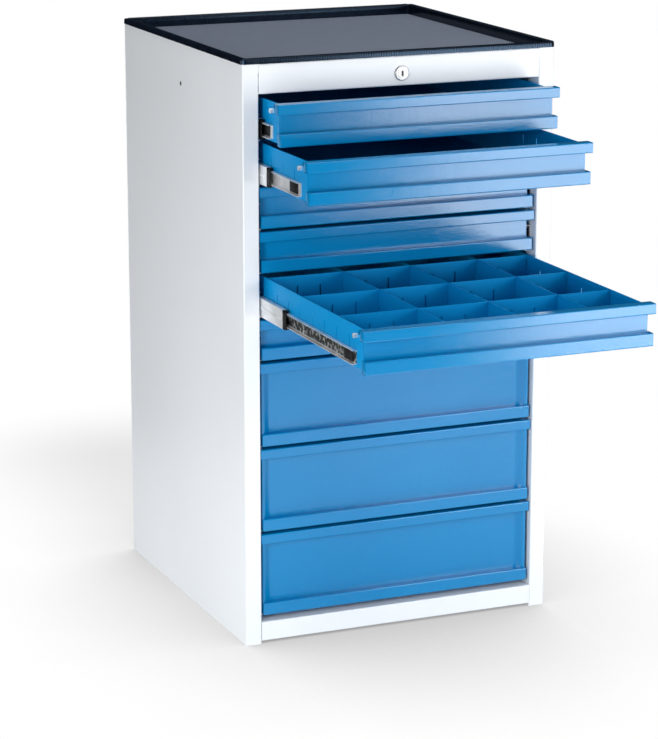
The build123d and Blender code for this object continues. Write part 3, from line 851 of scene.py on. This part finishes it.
@dataclass
class TrayTop:
    """The ribbed mat and the ribs of the black edge profile round it."""

    shop: Paintshop
    rib_pitch: float = 3.8 * MILLIMETRE
    rib_height: float = 0.7 * MILLIMETRE
    rib_columns: int = 6
    rib_top_share: float = 0.5
    profile_rib_pitch: float = 4.6 * MILLIMETRE
    profile_rib_width: float = 2.3 * MILLIMETRE
    profile_relief: float = 0.9 * MILLIMETRE
    profile_rounding: float = 2.6 * MILLIMETRE
    profile_depth: float = 9.8 * MILLIMETRE
    profile_steps: int = 2
    rib_rounding: float = 0.7 * MILLIMETRE
    rib_steps: int = 2
    corner_clearance: float = 9.0 * MILLIMETRE
    skirt_clearance: float = 0.6 * MILLIMETRE

    def build(self) -> None:
        """Build the mat and the profile's ribs."""
        self.build_mat()
        self.build_profile_ribs()

    def build_mat(self) -> None:
        """Build the mat as one sheet whose ribs run from front to back."""
        low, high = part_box("top_mat")
        width = high.x - low.x
        depth = high.y - low.y
        ribs = round(width / self.rib_pitch)
        columns = ribs * self.rib_columns
        mesh = bmesh.new()
        middle = Vector(((low.x + high.x) / 2, (low.y + high.y) / 2, high.z - self.rib_height))
        matrix = Matrix.Translation(middle) @ Matrix.Diagonal((width, depth, 1.0, 1.0))
        bmesh.ops.create_grid(mesh, x_segments=columns, y_segments=1, size=0.5, matrix=matrix)
        for vert in mesh.verts:
            phase = (vert.co.x - low.x) / width * ribs % 1.0
            wave = 0.5 - 0.5 * math.cos(2 * math.pi * phase)
            vert.co.z += self.rib_height * min(1.0, wave / self.rib_top_share)
        close_below(mesh, mesh.verts[:], Z_AXIS, low.z)
        mat = make_piece("ribbed_mat", mesh, smooth_angle=50.0)
        self.shop.dress(mat, Slot.MAT)
        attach(mat, "carcass")
        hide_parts("top_mat")

    def build_profile_ribs(self) -> None:
        """Build the short ribs that run across the edge profile on its four sides."""
        low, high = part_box("tray_rim")
        body_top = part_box("header_rail")[1].z
        mesh = bmesh.new()
        centre = (low + high) / 2
        half = (high - low) / 2
        for turn in range(4):
            swapped = turn % 2 == 1
            half_along = half.y if swapped else half.x
            half_away = half.x if swapped else half.y
            reach = half_along - self.corner_clearance
            steps = int(2 * reach / self.profile_rib_pitch)
            rib = self.add_rib(mesh, half_away, body_top + self.skirt_clearance, high.z)
            span = steps * self.profile_rib_pitch
            quarter = Matrix.Rotation(turn * math.pi / 2, 4, "Z")
            turning = Matrix.Translation((centre.x, centre.y, 0)) @ quarter
            for step in range(steps + 1):
                offset = -span / 2 + step * self.profile_rib_pitch
                copy = bmesh.ops.duplicate(mesh, geom=rib)["geom"]
                matrix = turning @ Matrix.Translation((offset, 0, 0))
                bmesh.ops.transform(mesh, matrix=matrix, verts=list(filter(is_vert, copy)))
            bmesh.ops.delete(mesh, geom=list(filter(is_vert, rib)), context="VERTS")
        ribs = make_piece("edge_profile_ribs", mesh, smooth_angle=40.0)
        self.shop.dress(ribs, Slot.TRAY)
        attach(ribs, "carcass")

    def add_rib(
        self, mesh: bmesh.types.BMesh, half_away: float, bottom: float, top: float
    ) -> list[Element]:
        """Add one rib on the front side, at the middle of its length.

        Args:
            mesh: The bmesh.
            half_away: How far the profile's outer face is from the middle.
            bottom: The height of the rib's lower ends.
            top: The height of the profile's top.

        Returns:
            The rib's vertices, edges and faces.
        """
        depth = self.profile_depth + 2 * self.profile_relief
        height = top + self.profile_relief - bottom
        centre = Vector((0, -half_away + self.profile_depth / 2, bottom + height / 2))
        verts = add_block(mesh, (self.profile_rib_width, depth, height), centre)
        upper = [
            edge
            for edge in edges_of(verts)
            if along(edge, X_AXIS) and min(vert.co.z for vert in edge.verts) > centre.z
        ]
        before = set(mesh.verts) - set(verts)
        round_edges(mesh, upper, self.profile_rounding, self.profile_steps)
        verts = [vert for vert in mesh.verts if vert not in before]
        inner = centre.y + self.profile_depth / 2
        long_edges = [
            edge
            for edge in edges_of(verts)
            if not along(edge, X_AXIS)
            and min(vert.co.z for vert in edge.verts) >= bottom
            and any(vert.co.z > bottom + self.rib_rounding and vert.co.y < inner for vert in edge.verts)
        ]
        round_edges(mesh, long_edges, self.rib_rounding, self.rib_steps)
        verts = [vert for vert in mesh.verts if vert not in before]
        edges = edges_of(verts)
        faces = dict.fromkeys(face for vert in verts for face in vert.link_faces)
        return [*verts, *edges, *faces]


# Drawer fronts


@dataclass
class FrontEnds:
    """The ends of the drawer fronts: folded flaps, and rising edges on the tall fronts."""

    shop: Paintshop
    top_band: float = 17.5 * MILLIMETRE
    bottom_band: float = 21.5 * MILLIMETRE
    band_depth: float = 15.0 * MILLIMETRE
    band_inset: float = 3.5 * MILLIMETRE
    sheet: float = 1.2 * MILLIMETRE
    fit: float = 0.1 * MILLIMETRE
    flat: float = 1.0 * MILLIMETRE
    ramp: float = 18.0 * MILLIMETRE
    rise: float = 10.0 * MILLIMETRE
    ramp_steps: int = 10
    flap_steps: int = 2
    flap_rounding: float = 0.3 * MILLIMETRE
    tall: float = 100.0 * MILLIMETRE

    def build(self) -> None:
        """Build the two ends of each drawer's front."""
        for number in DRAWERS:
            mesh = bmesh.new()
            low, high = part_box(f"drawer_{number}_front")
            for side in Side:
                self.add_flaps(mesh, low, high, side)
                if high.z - low.z > self.tall:
                    self.add_ramp(mesh, low, high, side)
            ends = make_piece(f"drawer_{number}_front_ends", mesh, smooth_angle=40.0)
            self.shop.dress(ends, Slot.DRAWER)
            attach(ends, f"drawer_{number}")

    def add_ramp(self, mesh: bmesh.types.BMesh, low: Vector, high: Vector, side: Side) -> None:
        """Add the slope that closes the recess at one end.

        Args:
            mesh: The bmesh.
            low: The front's lowest corner.
            high: The front's highest corner.
            side: The end of the front.
        """
        bottom = low.z + self.bottom_band - self.fit
        height = high.z - self.top_band + self.fit - bottom
        length = self.flat + self.ramp
        outer = high.x - self.band_inset - self.fit
        back = low.y + self.band_depth + self.fit
        centre = Vector((side.value * (outer - length / 2), back - self.rise, bottom + height / 2))
        matrix = (
            Matrix.Translation(centre)
            @ Matrix.Rotation(math.pi / 2, 4, "X")
            @ Matrix.Diagonal((length, height, 1.0, 1.0))
        )
        steps = self.ramp_steps
        verts = bmesh.ops.create_grid(mesh, x_segments=steps, y_segments=1, size=0.5, matrix=matrix)["verts"]
        for vert in verts:
            inward = outer - abs(vert.co.x)
            share = min(max((inward - self.flat) / self.ramp, 0.0), 1.0)
            eased = share * share * (3.0 - 2.0 * share)
            vert.co.y += self.rise * eased
        close_below(mesh, verts, Y_AXIS, back + self.fit)

    def add_flaps(self, mesh: bmesh.types.BMesh, low: Vector, high: Vector, side: Side) -> None:
        """Add the folded flaps that close the two bands at one end.

        Args:
            mesh: The bmesh.
            low: The front's lowest corner.
            high: The front's highest corner.
            side: The end of the front.
        """
        gap = self.sheet + self.fit
        depth = self.band_depth - gap - self.fit
        rows = (
            (high.x, high.z - self.top_band, high.z),
            (high.x - self.band_inset, low.z, low.z + self.bottom_band),
        )
        for outer, bottom, top in rows:
            size = (self.sheet, depth, top - bottom - 2 * gap)
            middle = side.value * (outer - self.sheet / 2 - self.fit)
            place = Vector((middle, low.y + gap + depth / 2, (bottom + top) / 2))
            add_rounded_block(mesh, size, place, self.flap_rounding, self.flap_steps)


# Side panels


@dataclass
class HolePlugs:
    """The black plugs that close the round holes of the side panels flush."""

    shop: Paintshop
    height: float = 930.0 * MILLIMETRE
    head_radius: float = 3.95 * MILLIMETRE
    head_thickness: float = 1.3 * MILLIMETRE
    neck_radius: float = 3.4 * MILLIMETRE
    neck_length: float = 3.5 * MILLIMETRE
    rounding: float = 0.3 * MILLIMETRE
    segments: int = 32
    steps: int = 3

    def build(self) -> None:
        """Build one plug for each side."""
        mesh = bmesh.new()
        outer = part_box("side_panel_right")[1].x
        for side in Side:
            inner = outer - self.head_thickness
            self.add_disc(mesh, side, inner, self.head_radius, self.head_thickness)
            self.add_disc(mesh, side, outer - self.neck_length, self.neck_radius, self.neck_length)
        plugs = make_piece("side_hole_plugs", mesh, smooth_angle=40.0)
        self.shop.dress(plugs, Slot.MOULDED)
        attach(plugs, "carcass")

    def add_disc(
        self, mesh: bmesh.types.BMesh, side: Side, start: float, radius: float, length: float
    ) -> None:
        """Add a disc with rounded rims, lying across the side panel.

        Args:
            mesh: The bmesh.
            side: The side of the cabinet.
            start: Its inner face's distance from the middle plane.
            radius: Its radius.
            length: Its thickness.
        """
        place = Vector((side.value * (start + length / 2), 0, self.height))
        matrix = Matrix.Translation(place) @ Matrix.Rotation(math.pi / 2, 4, "Y")
        made = bmesh.ops.create_cone(
            mesh,
            cap_ends=True,
            segments=self.segments,
            radius1=radius,
            radius2=radius,
            depth=length,
            matrix=matrix,
        )["verts"]
        rims = [edge for edge in edges_of(made) if not along(edge, X_AXIS)]
        round_edges(mesh, rims, min(self.rounding, length / 3), self.steps)


# Slides


@dataclass
class SlideCaps:
    """The moulded stops at the front ends of the middle slide members."""

    shop: Paintshop
    member_depth: float = 8.2 * MILLIMETRE
    member_height: float = 33.0 * MILLIMETRE
    length: float = 13.6 * MILLIMETRE
    inset: float = 0.5 * MILLIMETRE
    nose_length: float = 3.0 * MILLIMETRE
    rounding: float = 0.6 * MILLIMETRE
    steps: int = 2
    wall: float = 1.6 * MILLIMETRE
    jaw: float = 4.0 * MILLIMETRE

    def build(self) -> None:
        """Build two caps for each drawer."""
        for number in DRAWERS:
            mesh = bmesh.new()
            low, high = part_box(f"drawer_{number}_middle_slides")
            height = (low.z + high.z) / 2
            for side in Side:
                self.add_cap(mesh, Vector((side.value * high.x, low.y, height)), side)
            caps = make_piece(f"drawer_{number}_slide_caps", mesh, smooth_angle=40.0)
            self.shop.dress(caps, Slot.MOULDED)
            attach(caps, f"middle_{number}")

    def add_cap(self, mesh: bmesh.types.BMesh, place: Vector, side: Side) -> None:
        """Add a cap in front of a member's end, open in the middle for the drawer's member.

        Args:
            mesh: The bmesh.
            place: The middle of the outer face's front end.
            side: The side of the cabinet.
        """
        height = self.member_height - 2 * self.inset
        width = self.member_depth - 2 * self.inset
        plate = Vector((-side.value * (self.inset + self.wall / 2), -self.length / 2, 0))
        jaw = Vector((-side.value * (self.inset + width / 2), -self.length / 2, (height - self.jaw) / 2))
        jaw_length = self.length - self.nose_length
        parts = (
            ((self.wall, self.length, height), plate),
            ((width, jaw_length, self.jaw), jaw + Vector((0, self.nose_length / 2, 0))),
            ((width, jaw_length, self.jaw), Vector((jaw.x, jaw.y + self.nose_length / 2, -jaw.z))),
        )
        for size, offset in parts:
            add_rounded_block(mesh, size, place + offset, self.rounding, self.steps)


@dataclass
class SlideFittings:
    """The stop in each drawer member's window and the bead along each middle member."""

    shop: Paintshop
    sheet: float = 1.2 * MILLIMETRE
    window_length: float = 22.0 * MILLIMETRE
    window_height: float = 10.0 * MILLIMETRE
    window_from_end: float = 16.0 * MILLIMETRE
    pin_before_member: float = 5.0 * MILLIMETRE
    member_middle: float = 18.0 * MILLIMETRE
    box_below_base: float = 6.5 * MILLIMETRE
    fit: float = 0.15 * MILLIMETRE
    stop_thickness: float = 3.2 * MILLIMETRE
    stop_rounding: float = 0.6 * MILLIMETRE
    latch_length: float = 33.0 * MILLIMETRE
    latch_height: float = 18.0 * MILLIMETRE
    latch_thickness: float = 1.8 * MILLIMETRE
    bead_width: float = 4.4 * MILLIMETRE
    bead_relief: float = 0.7 * MILLIMETRE
    bead_sink: float = 0.4 * MILLIMETRE
    bead_from_end: float = 9.0 * MILLIMETRE
    bead_length: float = 460.0 * MILLIMETRE
    steps: int = 2

    def build(self) -> None:
        """Build the stops and beads of all drawers."""
        for number in DRAWERS:
            self.build_stops(number)
            self.build_beads(number)

    def build_stops(self, number: int) -> None:
        """Build the two moulded stops that fill the windows of one drawer's members.

        Args:
            number: The drawer's number.
        """
        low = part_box(f"drawer_{number}_slides")[0]
        front = low.y + self.pin_before_member + self.window_from_end
        height = low.z - self.box_below_base + self.member_middle
        tray_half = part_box(f"drawer_{number}_tray")[1].x
        mesh = bmesh.new()
        stop = (self.stop_thickness, self.window_length - 2 * self.fit, self.window_height - 2 * self.fit)
        latch = (self.latch_thickness, self.latch_length, self.latch_height)
        for side in Side:
            for size, inner in ((stop, tray_half), (latch, tray_half + self.sheet)):
                middle = side.value * (inner + self.fit + size[0] / 2)
                place = Vector((middle, front + self.window_length / 2, height))
                add_rounded_block(mesh, size, place, self.stop_rounding, self.steps)
        stops = make_piece(f"drawer_{number}_slide_stops", mesh, smooth_angle=40.0)
        self.shop.dress(stops, Slot.MOULDED)
        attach(stops, f"drawer_{number}")

    def build_beads(self, number: int) -> None:
        """Build the long bead on the outer face of each middle member of one drawer.

        Args:
            number: The drawer's number.
        """
        low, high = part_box(f"drawer_{number}_middle_slides")
        mesh = bmesh.new()
        width = self.bead_relief + self.bead_sink
        size = (width, self.bead_length, self.bead_width)
        for side in Side:
            across = side.value * (high.x + self.bead_relief - width / 2)
            middle = low.y + self.bead_from_end + self.bead_length / 2
            place = Vector((across, middle, (low.z + high.z) / 2))
            add_rounded_block(mesh, size, place, self.bead_sink, self.steps)
        beads = make_piece(f"drawer_{number}_slide_beads", mesh, smooth_angle=50.0)
        self.shop.dress(beads, Slot.ZINC)
        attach(beads, f"middle_{number}")


# Lock


@dataclass
class KeyholeShade:
    """A black plate over the key slot: painted shade for the dark keyhole."""

    shop: Paintshop
    width: float = 3.9 * MILLIMETRE
    height: float = 10.4 * MILLIMETRE
    relief: float = 0.25 * MILLIMETRE
    sink: float = 1.0 * MILLIMETRE
    rounding: float = 1.3 * MILLIMETRE
    slit_width: float = 0.9 * MILLIMETRE
    slit_depth: float = 0.6 * MILLIMETRE
    steps: int = 4

    def build(self) -> None:
        """Build the black plate of painted keyhole shade, with a slit down its middle."""
        front_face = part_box("lock_plug")[0].y
        ring_low, ring_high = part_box("lock_housing")
        centre = (ring_low + ring_high) / 2
        depth = self.relief + self.sink
        mesh = bmesh.new()
        place = Vector((centre.x, front_face - self.relief + depth / 2, centre.z))
        verts = add_block(mesh, (self.width, depth, self.height), place)
        sides = [edge for edge in edges_of(verts) if along(edge, Y_AXIS)]
        round_edges(mesh, sides, self.rounding, self.steps)
        front = min(mesh.faces, key=lambda face: face.calc_center_median().y)
        border = (self.width - self.slit_width) / 2
        bmesh.ops.inset_region(mesh, faces=[front], thickness=border, use_even_offset=True)
        bmesh.ops.translate(mesh, vec=Vector((0, self.slit_depth, 0)), verts=front.verts[:])
        # Painted shade: a black plate, larger than the key slot, where the keyhole is dark.
        keyhole_shade = make_piece("lock_keyhole_shade", mesh, smooth_angle=40.0)
        self.shop.dress(keyhole_shade, Slot.MOULDED)
        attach(keyhole_shade, "lock")


# Stage


@dataclass
class Softbox:
    """One soft studio light."""

    name: str
    place: Size
    aim: Size
    width: float
    height: float
    power: float
    colour: Colour = (1.0, 1.0, 1.0)

    def build(self) -> None:
        """Add the light and turn it towards its aim."""
        data = bpy.data.lights.new(self.name, "AREA")
        data.shape = "RECTANGLE"
        data.size = self.width
        data.size_y = self.height
        data.energy = self.power
        data.color = self.colour
        light = bpy.data.objects.new(self.name, data)
        light.location = self.place
        direction = Vector(self.aim) - Vector(self.place)
        light.rotation_euler = direction.to_track_quat("-Z", "Y").to_euler()
        light.visible_camera = False
        bpy.context.scene.collection.objects.link(light)
        LOG.info("%s: %.0f W", self.name, self.power)


@dataclass
class Studio:
    """The pale floor, the surroundings and the softboxes."""

    floor_radius: float = 30.0
    floor_steps: int = 96
    floor_colour: Colour = (0.80, 0.80, 0.80)
    paper_centre: Size = (0.5, -0.9, 0.0)
    paper_from: float = 1.9
    paper_to: float = 2.4
    off_paper: float = 0.03
    # Painted light: how strongly the paper glows.
    paper_glow: float = 0.45
    # Painted shadow on the floor: ambient occlusion's reach and samples, where it opens to white, and its
    # darkest tone.
    shadow_reach: float = 0.85
    shadow_samples: int = 16
    shadow_open: float = 0.81
    shadow_tone: float = 0.30
    surround_colour: Colour = (0.94, 0.97, 1.0)
    surround_strength: float = 0.14
    mirrored_strength: float = 0.03
    backdrop: float = 1.0
    # Painted shadow patch on the floor behind the cabinet.
    rear_shade_centre: Size = (0.0, 0.62, 0.0)
    rear_shade_half: Size = (0.07, 0.28, 0.0)
    rear_shade_reach: float = 0.46
    rear_shade_tone: float = 0.79

    def build(self) -> None:
        """Build the floor, the surroundings and the lights."""
        self.build_floor()
        self.build_surroundings()
        boxes = [
            Softbox("right_softbox", (0.945, -1.836, 0.70), (0.276, -1.093, 0.70), 0.7, 1.1, 20.0),
            Softbox("right_fill", (1.131, -1.669, 1.85), (0.462, -0.926, 1.5), 1.2, 1.2, 6.0),
            Softbox("left_softbox", (-2.0, -1.95, 0.9), (-0.25, -0.3, 0.45), 0.6, 1.4, 40.0),
            Softbox("left_fill", (-2.4, 0.3, 0.4), (-0.285, 0.0, 0.4), 1.2, 0.8, 10.0),
            Softbox("top_softbox", (0.0, -0.3, 3.4), (0.0, -0.29, 0.0), 2.4, 2.4, 42.0),
        ]
        for box in boxes:
            box.build()
        settings = bpy.context.scene.view_settings
        settings.view_transform = "Standard"
        settings.look = "None"

    def build_floor(self) -> None:
        """Build a wide white floor with a painted shadow where the cabinet stands.

        The camera sees a white emission with a painted shadow near the cabinet, taken from ambient
        occlusion and from a painted patch behind it. Other rays meet a sheet of white paper that
        ends some way off, so the glossy fronts mirror its edge; the paper also glows a little,
        painted light that is weaker near the cabinet.
        """
        mesh = bmesh.new()
        bmesh.ops.create_circle(mesh, cap_ends=True, radius=self.floor_radius, segments=self.floor_steps)
        floor = make_piece("floor", mesh)
        material = bpy.data.materials.new("pale_floor")
        material.use_nodes = True
        bench = NodeBench(material.node_tree)
        place = bench.add("ShaderNodeTexCoord").outputs["Object"]
        away = bench.vector_math("DISTANCE", place, self.paper_centre)
        edge = bench.ramp(away, self.paper_from, self.paper_to, curve="SMOOTHSTEP")
        paper = bench.mix(edge, rgba(self.floor_colour), rgba((self.off_paper,) * 3))
        occlusion = bench.add(
            "ShaderNodeAmbientOcclusion", samples=self.shadow_samples, Distance=self.shadow_reach
        )
        shade = occlusion.outputs["AO"]
        diffuse = bench.add("ShaderNodeBsdfDiffuse", Color=paper)
        # Painted light: the paper glows, and glows less where the cabinet is near.
        strength = bench.math("MULTIPLY", shade, self.paper_glow)
        glow = bench.add("ShaderNodeEmission", Color=paper, Strength=strength)
        lit = bench.join_shaders("ShaderNodeAddShader", diffuse, glow)
        # Painted shadow for camera rays: ambient occlusion and the rear patch grey the white emission near
        # the cabinet.
        open_share = bench.ramp(shade, 0.0, self.shadow_open)
        tone = bench.mix(open_share, rgba((self.shadow_tone,) * 3), rgba((self.backdrop,) * 3))
        plain = bench.add("ShaderNodeEmission", Color=tone, Strength=self.rear_shade(bench, place))
        chosen = bench.by_ray(lit, plain)
        bench.add("ShaderNodeOutputMaterial", Surface=chosen.outputs[0])
        floor.data.materials.append(material)

    def rear_shade(self, bench: NodeBench, place: Socket) -> Socket:
        """Paint a soft shadow on the floor behind the cabinet, on the side away from the front lights.

        Args:
            bench: The floor's nodes.
            place: The coordinate's socket.

        Returns:
            The socket of the floor's brightness.
        """
        offset = bench.vector_math("SUBTRACT", place, self.rear_shade_centre)
        folded = bench.vector_math("ABSOLUTE", offset)
        beyond = bench.vector_math("SUBTRACT", folded, self.rear_shade_half)
        distance = bench.vector_math("LENGTH", bench.vector_math("MAXIMUM", beyond))
        return bench.ramp(distance, 0.0, self.rear_shade_reach, self.rear_shade_tone, curve="SMOOTHSTEP")

    def build_surroundings(self) -> None:
        """Set a plain white backdrop that lights the cabinet softly."""
        world = bpy.data.worlds.new("studio")
        bpy.context.scene.world = world
        world.use_nodes = True
        bench = NodeBench(world.node_tree)
        glossy = bench.add("ShaderNodeLightPath").outputs["Is Glossy Ray"]
        strength = bench.ramp(glossy, 0.0, 1.0, self.surround_strength, self.mirrored_strength)
        fill = bench.add("ShaderNodeBackground", Color=rgba(self.surround_colour), Strength=strength)
        white = bench.add("ShaderNodeBackground", Color=rgba((self.backdrop,) * 3), Strength=1.0)
        bench.add("ShaderNodeOutputWorld", Surface=bench.by_ray(fill, white).outputs[0])


@dataclass
class StudioCamera:
    """The camera at the photograph's place."""

    place: Size = (-1.9160, -4.5118, 1.6329)
    yaw: float = 0.40033
    pitch: float = 0.24790
    focal_pixels: float = 2788.9
    image_height: float = 739.0
    sensor: float = 36.0
    near: float = 0.05
    far: float = 100.0

    def build(self) -> None:
        """Add the camera and make it the scene's camera."""
        data = bpy.data.cameras.new("camera")
        data.sensor_width = self.sensor
        data.lens = self.focal_pixels * self.sensor / self.image_height
        data.clip_start = self.near
        data.clip_end = self.far
        camera = bpy.data.objects.new("camera", data)
        forward = Vector(
            (
                math.sin(self.yaw) * math.cos(self.pitch),
                math.cos(self.yaw) * math.cos(self.pitch),
                -math.sin(self.pitch),
            )
        )
        camera.location = self.place
        camera.rotation_euler = forward.to_track_quat("-Z", "Y").to_euler()
        bpy.context.scene.collection.objects.link(camera)
        bpy.context.scene.camera = camera
        LOG.info("camera: %.1f mm", data.lens)


def main() -> None:
    """Build the pieces, the stage and the camera in order."""
    logging.basicConfig(level=logging.INFO, format="%(name)s: %(message)s")
    StudioCamera().build()
    shop = Paintshop()
    shop.dress_nodes()
    TrayTop(shop).build()
    FrontEnds(shop).build()
    HolePlugs(shop).build()
    SlideCaps(shop).build()
    SlideFittings(shop).build()
    KeyholeShade(shop).build()
    Studio().build()


if __name__ == "__main__":
    main()
